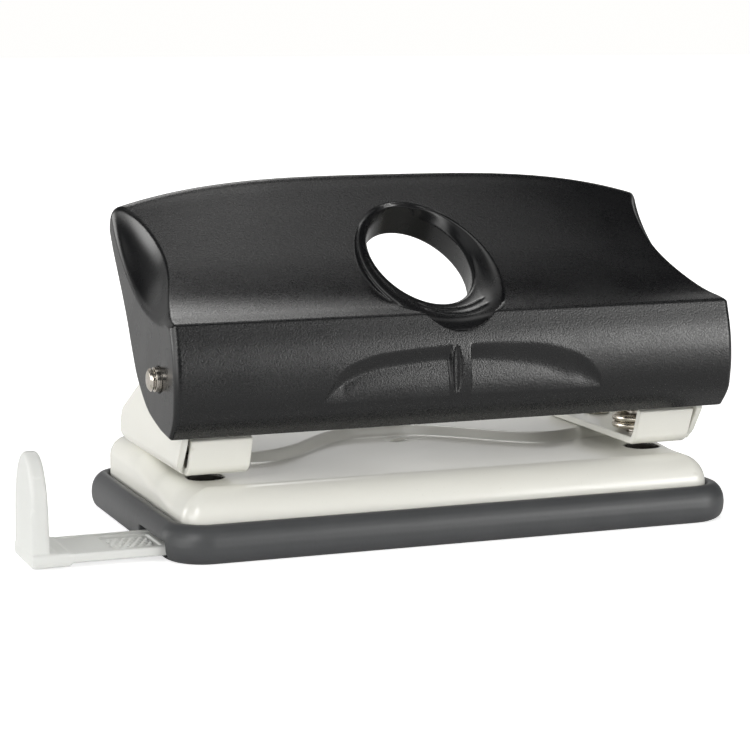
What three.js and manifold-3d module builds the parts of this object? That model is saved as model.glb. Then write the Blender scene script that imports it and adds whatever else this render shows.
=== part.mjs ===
// Two-hole paper punch: pressed steel base in a plastic chip tray, two sheet brackets that carry
// a pivot rod, sprung punches and an open-backed plastic lever handle, and a sliding paper guide.
// Millimetres. X runs along the punch, -Y is the side the paper enters, +Z is up.
// The origin is the middle of the tray's flat underside.

import * as THREE from 'three';
import { mergeVertices } from 'three/addons/utils/BufferGeometryUtils.js';
import Module from 'manifold-3d';

const wasm = await Module();
wasm.setup();

// ---------------------------------------------------------------- driving dimensions

const HOLE_SPACING = 80;
const PUNCH_X = HOLE_SPACING / 2;
const PUNCH_Y = -12.4;
const SHEET = 1.2;

const TRAY = { halfX: 50.5, halfY: 28.7, corner: 7.5, rim: 6.3, ledge: 4.2, floor: 1.5 };
const BASE = { halfX: 47.0, halfY: 25.2, corner: 3.5, bottom: 4.4, edge: 5, table: 11.2, deck: 12.7 };
const STOP_WALL = { behindDie: 12, foot: -3.3, footX: 27, middle: 12.6, flat: 4 };
const DIE_RADIUS = 2.9;

const BRACKET = { inner: 34.7, flangeOuter: 45.0, ear: 46.7, floor: 12.8, front: -19.6, back: 14.4, lean: 0.43 };
const FLANGE_TOP = 19.1;
const BEND = 0.5;
const RIVETS = [[41, 7.4], [37.4, 12]];
const RIVET = { shank: 1.5, head: 2.3, bore: 0.95 };

const PIVOT = { y: -18.4, z: 28.7, radius: 2, halfLength: 51.1 };
const EAR_RADIUS = 4.6;

const PUNCH = { radius: 2.75, tip: 13, top: 28.9, groove: 2.25 };
const SPRING = { radius: 4.75, wire: 1.2, turns: 5, bottom: 14.15, top: 24.1 };
const WASHER = { radius: 5.2, bottom: 24.2, thickness: 0.8 };
const PUNCH_CLIP = { radius: 4.3, bottom: 25.3, thickness: 0.8 };
const CAM = { y: PIVOT.y + 7.2, z: PIVOT.z + 2.5, radius: 2, halfWidth: 2 };

const HANDLE = { halfX: 49.3, wall: 2, arch: 4.8, archPower: 3.2, lipZ: 46.7 };
const WINDOW = { slope: 31, x: -0.5, y: -8, z: 45.7, across: 8.5, along: 13, depth: 5 };
const COLLAR = { x: -0.3, y: -12.1, z: 44.9, across: 12, along: 17.2 };
const SCOOP = { radius: 9, halfLength: 23, offset: 3 };

const GUIDE = { outer: -71.2, stopThickness: 3, inner: 38.5, front: -22.9, back: -9.4, bottom: 1.1, top: 2.6, height: 18.1 };
const SLEEVE = { gap: 0.3, wall: 1, roof: 4.1, sill: 0.8 };

// ---------------------------------------------------------------- solids and booleans

function toSolid(geometry) {
  const bare = geometry.clone();
  bare.deleteAttribute('normal');
  bare.deleteAttribute('uv');
  const merged = mergeVertices(bare, 1e-4);
  const vertProperties = new Float32Array(merged.attributes.position.array);
  const triVerts = new Uint32Array(merged.index.array);
  return new wasm.Manifold(new wasm.Mesh({ numProp: 3, vertProperties, triVerts }));
}

function toGeometry(solid) {
  const mesh = solid.getMesh();
  const geometry = new THREE.BufferGeometry();
  geometry.setAttribute('position', new THREE.BufferAttribute(new Float32Array(mesh.vertProperties), 3));
  geometry.setIndex(new THREE.BufferAttribute(new Uint32Array(mesh.triVerts), 1));
  geometry.computeVertexNormals();
  return geometry;
}

function signedVolume(points, indices) {
  let volume = 0;
  for (let i = 0; i < indices.length; i += 3) {
    const [a, b, c] = [points[indices[i]], points[indices[i + 1]], points[indices[i + 2]]];
    volume += a.dot(b.clone().cross(c)) / 6;
  }
  return volume;
}

// Skins a row of closed loops with equal point counts and closes both ends with flat caps.
// toPlane maps a loop point to the plane that its cap is triangulated in.
function loft(loops, toPlane) {
  const count = loops[0].length;
  const points = loops.flat();
  const indices = [];
  for (let ring = 0; ring < loops.length - 1; ring++) {
    for (let i = 0; i < count; i++) {
      const a = ring * count + i;
      const b = ring * count + (i + 1) % count;
      indices.push(a, b, b + count, a, b + count, a + count);
    }
  }
  const last = (loops.length - 1) * count;
  for (const [a, b, c] of THREE.ShapeUtils.triangulateShape(loops[0].map(toPlane), [])) {
    const forward = THREE.ShapeUtils.isClockWise(loops[0].map(toPlane));
    indices.push(...(forward ? [a, b, c] : [c, b, a]));
  }
  for (const [a, b, c] of THREE.ShapeUtils.triangulateShape(loops.at(-1).map(toPlane), [])) {
    const forward = THREE.ShapeUtils.isClockWise(loops.at(-1).map(toPlane));
    indices.push(...(forward ? [last + c, last + b, last + a] : [last + a, last + b, last + c]));
  }
  if (signedVolume(points, indices) < 0) indices.reverse();
  const geometry = new THREE.BufferGeometry().setFromPoints(points);
  geometry.setIndex(indices);
  return geometry;
}

const acrossX = (p) => new THREE.Vector2(p.y, p.z);
const acrossZ = (p) => new THREE.Vector2(p.x, p.y);

function box(x0, x1, y0, y1, z0, z1) {
  const geometry = new THREE.BoxGeometry(x1 - x0, y1 - y0, z1 - z0);
  geometry.translate((x0 + x1) / 2, (y0 + y1) / 2, (z0 + z1) / 2);
  return toSolid(geometry);
}

// A box between two distances from the middle plane, on the side given by +1 or -1.
function sideBox(side, x0, x1, y0, y1, z0, z1) {
  return box(Math.min(side * x0, side * x1), Math.max(side * x0, side * x1), y0, y1, z0, z1);
}

function uprightCylinder(radius, x, y, z0, z1, sides = 24) {
  const geometry = new THREE.CylinderGeometry(radius, radius, z1 - z0, sides);
  geometry.rotateX(Math.PI / 2);
  geometry.translate(x, y, (z0 + z1) / 2);
  return toSolid(geometry);
}

function cylinderAlongX(radius, x0, x1, y, z, sides = 24) {
  const geometry = new THREE.CylinderGeometry(radius, radius, Math.abs(x1 - x0), sides);
  geometry.rotateZ(Math.PI / 2);
  geometry.translate((x0 + x1) / 2, y, z);
  return toSolid(geometry);
}

// Extrudes an outline drawn in (y, z) between two x positions.
function slabAlongX(outline, x0, x1) {
  const ring = (x) => outline.map(([y, z]) => new THREE.Vector3(x, y, z));
  return toSolid(loft([ring(Math.min(x0, x1)), ring(Math.max(x0, x1))], acrossX));
}

// Turns a (radius, z) profile about an upright axis.
function turned(profile, x, y, sides = 24) {
  const geometry = new THREE.LatheGeometry(profile.map(([r, z]) => new THREE.Vector2(r, z)), sides);
  geometry.rotateX(Math.PI / 2);
  geometry.translate(x, y, 0);
  return toSolid(geometry);
}

function roundedRectangle(halfX, halfY, corner, z, perCorner = 6) {
  const loop = [];
  const centres = [[1, 1, 0], [-1, 1, 90], [-1, -1, 180], [1, -1, 270]];
  for (const [sx, sy, start] of centres) {
    for (let i = 0; i <= perCorner; i++) {
      const angle = THREE.MathUtils.degToRad(start + 90 * i / perCorner);
      const x = sx * (halfX - corner) + corner * Math.cos(angle);
      const y = sy * (halfY - corner) + corner * Math.sin(angle);
      loop.push(new THREE.Vector3(x, y, z));
    }
  }
  return loop;
}

// Sweeps an (inset, z) profile round a rounded rectangle and closes it with flat caps.
function rimmedShape({ halfX, halfY, corner }, profile) {
  const loops = profile.map(([inset, z]) => (
    roundedRectangle(halfX - inset, halfY - inset, Math.max(corner - inset, 1), z)));
  return toSolid(loft(loops, acrossZ));
}

// ---------------------------------------------------------------- chip tray

function chipTray() {
  const { halfX, rim, ledge, floor } = TRAY;
  const profile = [
    [1.7, 0], [0.7, 0.5], [0.15, 1.5], [0, 2.8], [0, 4.2], [0.3, 5.4], [1, 6.3], [1.9, rim],
    [2.7, 6.4], [3.2, 5.8], [3.2, ledge], [5, ledge], [5, floor],
  ];
  const { gap, wall, roof, sill } = SLEEVE;
  const outer = { y0: GUIDE.front - gap - wall, y1: GUIDE.back + gap + wall };
  const sleeve = box(-halfX + 4, halfX - 4, outer.y0, outer.y1, 0.2, roof);
  const tunnel = box(-halfX - 1, halfX - 5, outer.y0 + wall, outer.y1 - wall, sill, GUIDE.top + gap);
  const mouth = box(-halfX - 1, -halfX + 3.2, outer.y0 + wall, outer.y1 - wall, sill, roof + 0.3);
  return rimmedShape(TRAY, profile).add(sleeve).subtract(tunnel).subtract(mouth);
}

// ---------------------------------------------------------------- pressed steel base

// Filled pressing of a given top height, drawn in from the skirt by an inset.
function pressing(top, inset) {
  const edge = BASE.edge - inset;
  const profile = [[inset, BASE.bottom - (inset > 0 ? 1 : 0)]];
  for (let i = 0; i <= 5; i++) {
    const angle = THREE.MathUtils.degToRad(90 * i / 5);
    profile.push([inset + edge * (1 - Math.cos(angle)), top - BASE.edge + edge * Math.sin(angle)]);
  }
  return rimmedShape(BASE, profile);
}

// Front edge of the raised deck: a paper stop behind each die, arched back in the middle.
function stopWallY(x) {
  const { behindDie, foot, footX, middle, flat } = STOP_WALL;
  const ease = (t) => (1 - Math.cos(Math.PI * THREE.MathUtils.clamp(t, 0, 1))) / 2;
  const inner = ease((Math.abs(x) - flat) / (footX - flat));
  const outer = ease((Math.abs(x) - footX) / (PUNCH_X - 2 - footX));
  return middle + (foot - middle) * inner + (PUNCH_Y + behindDie - foot) * outer;
}

function deckRegion(inset) {
  const outline = [];
  for (let x = -60; x <= 60; x += Math.abs(x) < 27 ? 2 : 3) {
    outline.push(new THREE.Vector2(x, stopWallY(x) + inset));
  }
  outline.push(new THREE.Vector2(60, 40), new THREE.Vector2(-60, 40));
  const geometry = new THREE.ExtrudeGeometry(new THREE.Shape(outline), { depth: 20, bevelEnabled: false });
  return toSolid(geometry);
}

function basePlate() {
  const outer = pressing(BASE.table, 0).add(pressing(BASE.deck, 0).intersect(deckRegion(0)));
  const inner = pressing(BASE.table, SHEET).add(pressing(BASE.deck, SHEET).intersect(deckRegion(SHEET)));
  let plate = outer.subtract(inner);
  for (const side of [-1, 1]) {
    plate = plate.subtract(uprightCylinder(DIE_RADIUS, side * PUNCH_X, PUNCH_Y, 0, 20));
    for (const [x, y] of RIVETS) {
      plate = plate.subtract(uprightCylinder(RIVET.shank + 0.2, side * x, y, 0, 20));
    }
  }
  return plate;
}

// ---------------------------------------------------------------- brackets and rivets

// Outline of a bent sheet, from the centre line of its section.
function sheetOutline(centreLine, thickness) {
  const left = [];
  const right = [];
  centreLine.forEach(([y, z], i) => {
    const before = centreLine[Math.max(i - 1, 0)];
    const after = centreLine[Math.min(i + 1, centreLine.length - 1)];
    const length = Math.hypot(after[0] - before[0], after[1] - before[1]);
    const ny = -(after[1] - before[1]) / length * thickness / 2;
    const nz = (after[0] - before[0]) / length * thickness / 2;
    left.push([y + ny, z + nz]);
    right.push([y - ny, z - nz]);
  });
  return [...left, ...right.reverse()];
}

// Side view of the ear: foot along the floor, leaning front, round eye, slope down to the back.
function earOutline() {
  const { floor, front, back } = BRACKET;
  const outline = [[front + 1.2, floor + BEND], [front + 2.2, floor + BEND], [back, floor + BEND]];
  outline.push([back + 1.6, floor + 1.7], [back + 1.5, floor + 4.2], [back + 0.1, floor + 6.3]);
  outline.push([back - 8.6, 23.6], [back - 18, 28]);
  for (let degrees = 66; degrees <= 190; degrees += 15.5) {
    const angle = THREE.MathUtils.degToRad(degrees);
    outline.push([PIVOT.y + EAR_RADIUS * Math.cos(angle), PIVOT.z + EAR_RADIUS * Math.sin(angle)]);
  }
  outline.push([PIVOT.y - 4.2, 25.2], [front - 2.1, FLANGE_TOP - 0.4]);
  return outline;
}

function bracket(side) {
  const { inner, flangeOuter, ear, floor, front, back, lean } = BRACKET;
  const mid = floor + SHEET / 2;
  const bend = [[front + 2.0, mid], [front + 1.25, mid + 0.2], [front + 0.65, mid + 0.75]];
  const tip = [front + 0.65 - lean * (FLANGE_TOP - mid - 0.75), FLANGE_TOP];
  const flooring = slabAlongX(sheetOutline([[back, mid], ...bend, tip], SHEET), side * inner, side * (ear - BEND));
  const relief = sideBox(side, flangeOuter, ear + 1, front - 6, front + 2.2, floor - 1, FLANGE_TOP + 1);
  const cheek = slabAlongX(earOutline(), side * (ear - SHEET), side * ear);
  let solid = flooring.subtract(relief).add(cheek);
  solid = solid.subtract(uprightCylinder(PUNCH.radius + 0.15, side * PUNCH_X, PUNCH_Y, 0, 20));
  solid = solid.subtract(cylinderAlongX(PIVOT.radius + 0.15, side * 40, side * 50, PIVOT.y, PIVOT.z));
  for (const [x, y] of RIVETS) {
    solid = solid.subtract(uprightCylinder(RIVET.shank + 0.2, side * x, y, 0, 20));
  }
  return solid;
}

// Semi-tubular rivet: domed head on the bracket floor, rolled end under the deck sheet.
function rivet(side, [x, y]) {
  const seat = BRACKET.floor + SHEET + 0.1;
  const under = BASE.deck - SHEET - 0.3;
  const { shank, head, bore } = RIVET;
  return turned([
    [0, under - 0.9], [head - 0.2, under - 0.7], [head, under], [shank, under], [shank, seat],
    [head, seat], [head - 0.1, seat + 0.35], [head - 0.7, seat + 0.7], [bore + 0.1, seat + 0.7],
    [bore, seat + 0.5], [bore, seat - 1.2], [0, seat - 1.2],
  ], side * x, y, 16);
}

// ---------------------------------------------------------------- handle

// Outer side view of the handle's front and top, from the bottom edge to the back of the crest.
const LOWER_FRONT = [[-23.8, 19.7], [-25.5, 21.6], [-26.8, 23.6], [-27.5, 26.4], [-27.5, 30.2], [-26.9, 33.8], [-25.8, 37.4]];
const UPPER_SLOPE = [[-24.7, 38.4], [-20.6, 39.2], [-15.6, 40.9], [-9.6, 43.8], [-3.6, 47.2], [2.4, 50.5], [6.2, 52.5]];
const CREST = [[8, 53.5], [9.4, 53.7], [10.7, 53.1], [11.7, 51.7], [12, 49.7]];
// Back edge of the end walls, from the crest down to the bottom edge.
const END_WALL_BACK = [[9.6, 46.1], [6.6, 42.4], [3.6, 38.6], [1.1, 35.1], [-1.1, 31.5], [-4.5, 26.7], [-8.7, 23.6],
  [-12.8, 21.8], [-18.6, 20.3]];

function archHeight(x) {
  return HANDLE.arch * (1 - (Math.abs(x) / HANDLE.halfX) ** HANDLE.archPower);
}

// The front stays straight along the handle, and the height gained towards the crest is arched.
function arched([y, z], x) {
  const share = THREE.MathUtils.clamp((y - UPPER_SLOPE[0][0]) / (CREST[1][0] - UPPER_SLOPE[0][0]), 0, 1);
  return z > UPPER_SLOPE[0][1] ? [y, z + archHeight(x) * share ** 1.6] : [y, z];
}

// Moves a line inwards and drops the points that bunch up inside a tight corner.
function offsetLine(line, distance) {
  const moved = line.map(([y, z], i) => {
    const before = line[Math.max(i - 1, 0)];
    const after = line[Math.min(i + 1, line.length - 1)];
    const length = Math.hypot(after[0] - before[0], after[1] - before[1]);
    return [y + (after[1] - before[1]) / length * distance, z - (after[0] - before[0]) / length * distance];
  });
  return moved.filter(([y, z], i) => i === 0 || Math.hypot(y - moved[i - 1][0], z - moved[i - 1][1]) > 0.4);
}

function handleSection(x) {
  const skin = [...LOWER_FRONT, ...UPPER_SLOPE, ...CREST].map((p) => arched(p, x));
  const back = END_WALL_BACK.map(([y, z]) => [y, z + Math.max(z - 39.2, 0) / 7 * archHeight(x)]);
  return [...skin, ...back];
}

// Space inside the handle, running out through the open back and bottom.
function cavitySection(x) {
  const skin = [...LOWER_FRONT, ...UPPER_SLOPE, ...CREST.slice(0, 2)].map((p) => arched(p, x));
  const inside = offsetLine(skin, HANDLE.wall);
  const lip = HANDLE.lipZ + archHeight(x);
  return [[inside[0][0], 5], ...inside, [10, inside.at(-1)[1] - 1], [10, lip], [40, lip], [40, 5]];
}

function loftAlongX(section, halfX, steps) {
  const loops = [];
  for (let i = 0; i <= steps; i++) {
    const x = -halfX + 2 * halfX * i / steps;
    loops.push(section(x).map(([y, z]) => new THREE.Vector3(x, y, z)));
  }
  return toSolid(loft(loops, acrossX));
}

// Lens-shaped hollow along the upper edge of an end wall, grown by a margin for its backing.
function endScoop(side, margin) {
  const geometry = new THREE.SphereGeometry(1, 22, 14);
  const lower = new THREE.Vector3(0, UPPER_SLOPE[0][0], UPPER_SLOPE[0][1]);
  const upper = new THREE.Vector3(0, CREST[0][0], CREST[0][1]);
  const slope = Math.atan2(upper.z - lower.z, upper.y - lower.y);
  geometry.scale(SCOOP.radius + margin, SCOOP.halfLength + margin, SCOOP.radius + margin);
  geometry.rotateX(slope);
  const middle = lower.clone().add(upper).multiplyScalar(0.5);
  const { offset } = SCOOP;
  geometry.translate(side * (HANDLE.halfX + offset), middle.y - offset * Math.sin(slope), middle.z + offset * Math.cos(slope) - 0.8);
  return toSolid(geometry);
}

// Elliptical prism square to the sloping face, with its own size at the top and the bottom.
function slopingPrism({ x, y, z, across, along }, above, below, topMargin = 0) {
  const loops = [[-below, 0], [above, topMargin]].map(([height, margin]) => {
    const loop = [];
    for (let i = 0; i < 36; i++) {
      const angle = 2 * Math.PI * i / 36;
      loop.push(new THREE.Vector3((across + margin) * Math.cos(angle), (along + margin) * Math.sin(angle), height));
    }
    return loop;
  });
  const geometry = loft(loops, acrossZ);
  geometry.rotateX(THREE.MathUtils.degToRad(WINDOW.slope));
  geometry.translate(x, y, z);
  return toSolid(geometry);
}

function handleCover() {
  const body = loftAlongX(handleSection, HANDLE.halfX, 16);
  let cavity = loftAlongX(cavitySection, HANDLE.halfX - HANDLE.wall, 14);
  for (const side of [-1, 1]) {
    cavity = cavity.subtract(endScoop(side, HANDLE.wall));
  }
  let cover = body.subtract(cavity);
  const tunnelWall = { ...WINDOW, across: WINDOW.across + 1.8, along: WINDOW.along + 1.8 };
  cover = cover.add(slopingPrism(tunnelWall, 0.5, WINDOW.depth)).add(slopingPrism(COLLAR, 0, 3.5));
  cover = cover.subtract(slopingPrism(WINDOW, 10, 20)).subtract(slopingPrism(WINDOW, 4, 0, 4));
  for (const side of [-1, 1]) {
    const { y, z, radius, halfWidth } = CAM;
    const rib = sideBox(side, PUNCH_X - halfWidth, PUNCH_X + halfWidth, y - radius, y + radius, z, 45.7);
    const nose = cylinderAlongX(radius, side * (PUNCH_X - halfWidth), side * (PUNCH_X + halfWidth), y, z, 24);
    const bossInner = BRACKET.ear + 0.3;
    const boss = cylinderAlongX(EAR_RADIUS - 0.8, side * bossInner, side * (HANDLE.halfX - 0.5), PIVOT.y, PIVOT.z);
    cover = cover.add(rib.intersect(body)).add(nose).add(boss);
    cover = cover.subtract(cylinderAlongX(PIVOT.radius + 0.05, side * 44, side * 55, PIVOT.y, PIVOT.z));
    cover = cover.subtract(endScoop(side, 0));
  }
  return cover;
}

// ---------------------------------------------------------------- pivot rod and clips

// Open ring that snaps into a groove, turned about X or Z.
function snapRing(inner, outer, thickness, mouthDegrees) {
  const half = THREE.MathUtils.degToRad(mouthDegrees / 2);
  const shape = new THREE.Shape();
  shape.absarc(0, 0, outer, half, 2 * Math.PI - half, false);
  shape.absarc(0, 0, inner, 2 * Math.PI - half, half, true);
  shape.closePath();
  return new THREE.ExtrudeGeometry(shape, { depth: thickness, bevelEnabled: false, curveSegments: 28 });
}

const ROD_CLIP = { x: 43.9, thickness: 0.8, groove: 1.5, outer: 3.6 };

function pivotRod() {
  const { radius, halfLength } = PIVOT;
  const { x, thickness, groove } = ROD_CLIP;
  const half = [
    [radius, x - 0.15], [groove, x - 0.15], [groove, x + thickness + 0.15], [radius, x + thickness + 0.15],
    [radius, halfLength - 0.9], [radius - 0.35, halfLength - 0.8], [radius - 0.35, halfLength - 0.5],
    [radius, halfLength - 0.4], [radius - 0.3, halfLength], [0, halfLength],
  ];
  const mirrored = half.map(([r, at]) => [r, -at]).reverse();
  const profile = [...mirrored, ...half].map(([r, at]) => new THREE.Vector2(r, at));
  const geometry = new THREE.LatheGeometry(profile, 20);
  geometry.rotateZ(-Math.PI / 2);
  geometry.translate(0, PIVOT.y, PIVOT.z);
  return toSolid(geometry);
}

function rodClip(side) {
  const { x, thickness, groove, outer } = ROD_CLIP;
  const geometry = snapRing(groove + 0.1, outer, thickness, 100);
  geometry.rotateY(Math.PI / 2);
  geometry.rotateX(Math.PI / 2);
  geometry.translate(side > 0 ? x : -x - thickness, PIVOT.y, PIVOT.z);
  return toSolid(geometry);
}

// ---------------------------------------------------------------- punches, springs, washers, clips

// Hollow-ground pin: concave cutting tip, clip groove, chamfered head.
function punchPin(side) {
  const { radius, tip, top, groove } = PUNCH;
  const clip = PUNCH_CLIP;
  return turned([
    [0, tip + 1.2], [radius * 0.6, tip + 0.7], [radius, tip], [radius, clip.bottom - 0.1],
    [groove, clip.bottom - 0.1], [groove, clip.bottom + clip.thickness + 0.1],
    [radius, clip.bottom + clip.thickness + 0.1], [radius, top - 0.5], [radius - 0.5, top], [0, top],
  ], side * PUNCH_X, PUNCH_Y);
}

class CoilCurve extends THREE.Curve {
  constructor(centreX, centreY) {
    super();
    this.centreX = centreX;
    this.centreY = centreY;
  }

  // Closed end coils, wider pitch between them.
  getPoint(t, target = new THREE.Vector3()) {
    const { radius, wire, turns, bottom, top } = SPRING;
    const angle = 2 * Math.PI * turns * t;
    const closed = 1.3 / turns;
    const climb = THREE.MathUtils.clamp((t - closed) / (1 - 2 * closed), 0, 1);
    const seat = 1.3 * (wire + 0.25);
    const lowerShare = Math.min(t, closed) / closed;
    const upperShare = Math.max(t - 1 + closed, 0) / closed;
    const span = top - bottom - wire - 2 * seat;
    const z = bottom + wire / 2 + seat * (lowerShare + upperShare) + span * climb;
    return target.set(this.centreX + radius * Math.cos(angle), this.centreY + radius * Math.sin(angle), z);
  }
}

function coilSpring(side) {
  const wire = new THREE.Shape();
  wire.absarc(0, 0, SPRING.wire / 2, 0, 2 * Math.PI, false);
  return toSolid(new THREE.ExtrudeGeometry(wire, {
    steps: SPRING.turns * 16,
    curveSegments: 3,
    bevelEnabled: false,
    extrudePath: new CoilCurve(side * PUNCH_X, PUNCH_Y),
  }));
}

function springWasher(side) {
  const { radius, bottom, thickness } = WASHER;
  const bore = PUNCH.radius + 0.1;
  return turned([
    [bore, bottom], [radius, bottom], [radius, bottom + thickness], [bore, bottom + thickness], [bore, bottom],
  ], side * PUNCH_X, PUNCH_Y);
}

function punchClip(side) {
  const { radius, bottom, thickness } = PUNCH_CLIP;
  const geometry = snapRing(PUNCH.groove + 0.1, radius, thickness, 90);
  geometry.rotateZ(Math.PI / 2);
  geometry.translate(side * PUNCH_X, PUNCH_Y, bottom);
  return toSolid(geometry);
}

// ---------------------------------------------------------------- paper guide

function paperGuide() {
  const { outer, stopThickness, inner, front, back, bottom, top, height } = GUIDE;
  const middle = (front + back) / 2;
  const halfWidth = (back - front) / 2;
  const shoulder = height - 9;
  const outline = [[front, bottom - 0.5], [back, bottom - 0.5]];
  for (let i = 0; i <= 12; i++) {
    const angle = Math.PI * i / 12;
    outline.push([middle + (halfWidth - 0.4) * Math.cos(angle), shoulder + 9 * Math.sin(angle) ** 0.9]);
  }
  const stop = slabAlongX(outline, outer, outer + stopThickness);
  const foot = box(outer, outer + stopThickness + 3.2, front, back, bottom - 0.5, top);
  const arm = box(outer + 0.5, inner, front, back, bottom, top);
  return stop.add(foot).add(arm);
}

// ---------------------------------------------------------------- assembly

const finishes = {
  blackPlastic: { color: 0x2b2b2d, roughness: 0.45, metalness: 0 },
  creamPaint: { color: 0xe6e5d9, roughness: 0.25, metalness: 0.1 },
  greyPlastic: { color: 0x55585a, roughness: 0.5, metalness: 0 },
  palePlastic: { color: 0xd3d5d3, roughness: 0.45, metalness: 0 },
  chrome: { color: 0xc9c4bb, roughness: 0.15, metalness: 1 },
};

const holePunch = new THREE.Group();

function addPiece(name, solid, finish) {
  const mesh = new THREE.Mesh(toGeometry(solid), new THREE.MeshStandardMaterial(finishes[finish]));
  mesh.name = name;
  holePunch.add(mesh);
}

addPiece('chip_tray', chipTray(), 'greyPlastic');
addPiece('base_plate', basePlate(), 'creamPaint');
addPiece('handle_cover', handleCover(), 'blackPlastic');
addPiece('pivot_rod', pivotRod(), 'chrome');
addPiece('paper_guide', paperGuide(), 'palePlastic');

for (const [label, side] of [['left', -1], ['right', 1]]) {
  addPiece(`${label}_bracket`, bracket(side), 'creamPaint');
  addPiece(`${label}_rivet_front`, rivet(side, RIVETS[0]), 'chrome');
  addPiece(`${label}_rivet_rear`, rivet(side, RIVETS[1]), 'chrome');
  addPiece(`${label}_rod_clip`, rodClip(side), 'chrome');
  addPiece(`${label}_punch`, punchPin(side), 'chrome');
  addPiece(`${label}_spring`, coilSpring(side), 'chrome');
  addPiece(`${label}_washer`, springWasher(side), 'chrome');
  addPiece(`${label}_punch_clip`, punchClip(side), 'chrome');
}

export default holePunch;
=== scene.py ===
import math

import bmesh
import bpy
import numpy as np
from mathutils import Matrix, Vector


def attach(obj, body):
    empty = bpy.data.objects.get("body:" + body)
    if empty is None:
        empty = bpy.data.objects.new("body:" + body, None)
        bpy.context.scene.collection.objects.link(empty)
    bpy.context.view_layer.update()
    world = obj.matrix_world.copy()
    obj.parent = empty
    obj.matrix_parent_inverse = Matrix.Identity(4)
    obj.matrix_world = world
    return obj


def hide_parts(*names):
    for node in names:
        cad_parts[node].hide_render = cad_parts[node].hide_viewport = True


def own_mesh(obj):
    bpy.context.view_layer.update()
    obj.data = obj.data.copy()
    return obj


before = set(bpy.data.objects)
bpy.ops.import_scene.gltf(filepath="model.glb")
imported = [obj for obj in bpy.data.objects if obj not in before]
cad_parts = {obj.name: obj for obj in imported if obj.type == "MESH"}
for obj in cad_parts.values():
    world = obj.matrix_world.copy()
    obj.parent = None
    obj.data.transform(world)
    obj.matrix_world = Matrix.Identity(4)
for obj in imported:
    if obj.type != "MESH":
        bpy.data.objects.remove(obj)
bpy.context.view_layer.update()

# Looks of a two-hole paper punch. Shapes are worked out in millimetres as signed distances
# (negative inside), skinned, and written to Blender in metres. X runs along the punch,
# -Y is the side where the paper goes in, +Z is up.

MM = 0.001
SIDES = (("left", -1), ("right", 1))

# ------------------------------------------------------------------ dimensions, millimetres

PUNCH_X, PUNCH_Y, STROKE = 40.0, -12.4, 4.58
PIVOT_Y, PIVOT_Z = -18.4, 28.7
# Handle: half length, wall, rise of the arched top and how flat it is, top of the back opening.
HALF, WALL, ARCH, ARCH_POWER, LIP_Z = 49.3, 2.0, 4.8, 3.2, 46.7
SLOPE = math.radians(31)
# Base: heights of the table, deck and bottom edge, sheet thickness, then its outline.
TABLE, DECK, BOTTOM, SHEET = 11.2, 12.7, 4.4, 1.2
BASE_X, BASE_Y, BASE_CORNER, BASE_EDGE = 47.0, 25.2, 3.5, 5.0
TRAY_X, TRAY_Y, TRAY_CORNER = 50.5, 28.7, 7.5
# Brackets: floor height, front and back edges, then the ear, inner edge and flange along X.
FLOOR, FRONT, BACK, EAR, INNER, FLANGE_OUTER = 12.8, -19.6, 14.4, 46.7, 34.7, 45.0
FLANGE_TOP = 19.1
RIVETS, RIVET_HOLE = ((41.0, 7.4), (37.4, 12.0)), 1.7
ARM_FRONT, ARM_BACK = -22.9, -9.4

# The handle's cross-section, as (y, z) points from the bottom of the front, over the top, to the back.
LOWER_FRONT = ((-23.8, 19.7), (-25.5, 21.6), (-26.8, 23.6), (-27.5, 26.4), (-27.5, 30.2), (-26.9, 33.8),
               (-25.8, 37.4))
WAIST = (-25.54, 38.23)
UPPER_SLOPE = ((-24.7, 38.4), (-20.6, 39.2), (-15.6, 40.9), (-9.6, 43.8), (-3.6, 47.2), (2.4, 50.5),
               (6.2, 52.5))
CREST = ((8.0, 53.5), (9.4, 53.7), (10.7, 53.1), (11.7, 51.7), (12.0, 49.7))
END_BACK = ((9.6, 46.1), (6.6, 42.4), (3.6, 38.6), (1.1, 35.1), (-1.1, 31.5), (-4.5, 26.7), (-8.7, 23.6),
            (-12.8, 21.8), (-18.6, 20.3))

# ------------------------------------------------------------------ outlines


def spline(points, per=6):
    """A smooth line through the points."""
    p = np.array(points, float)
    p = np.vstack([2 * p[0] - p[1], p, 2 * p[-1] - p[-2]])
    t = np.linspace(0, 1, per, endpoint=False)[:, None]
    out = []
    for a, b, c, d in zip(p[:-3], p[1:-2], p[2:-1], p[3:]):
        square, cube = 2 * a - 5 * b + 4 * c - d, 3 * b - a - 3 * c + d
        out.append(0.5 * (2 * b + (c - a) * t + square * t ** 2 + cube * t ** 3))
    return np.vstack(out + [p[-2:-1]])


def rounded(points, radius, per=6):
    """The closed polygon with each corner turned into an arc. radius is one number or one per corner."""
    p = np.array(points, float)
    radii = np.broadcast_to(radius, len(p))
    out = []
    for i, r in enumerate(radii):
        a, b, c = p[i - 1], p[i], p[(i + 1) % len(p)]
        if r <= 0:
            out.append(b[None])
            continue
        u, v = (a - b) / np.linalg.norm(a - b), (c - b) / np.linalg.norm(c - b)
        half = math.acos(np.clip(u @ v, -1, 1)) / 2
        r = min(r, 0.45 * min(np.linalg.norm(a - b), np.linalg.norm(c - b)) * math.tan(half))
        s, e = b + u * r / math.tan(half), b + v * r / math.tan(half)
        centre = b + (u + v) / np.linalg.norm(u + v) * r / math.sin(half)
        t = np.linspace(0, 1, per + 1)[:, None]
        w = (s - centre) * (1 - t) + (e - centre) * t
        out.append(centre + w / np.linalg.norm(w, axis=1)[:, None] * r)
    return np.vstack(out)


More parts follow.
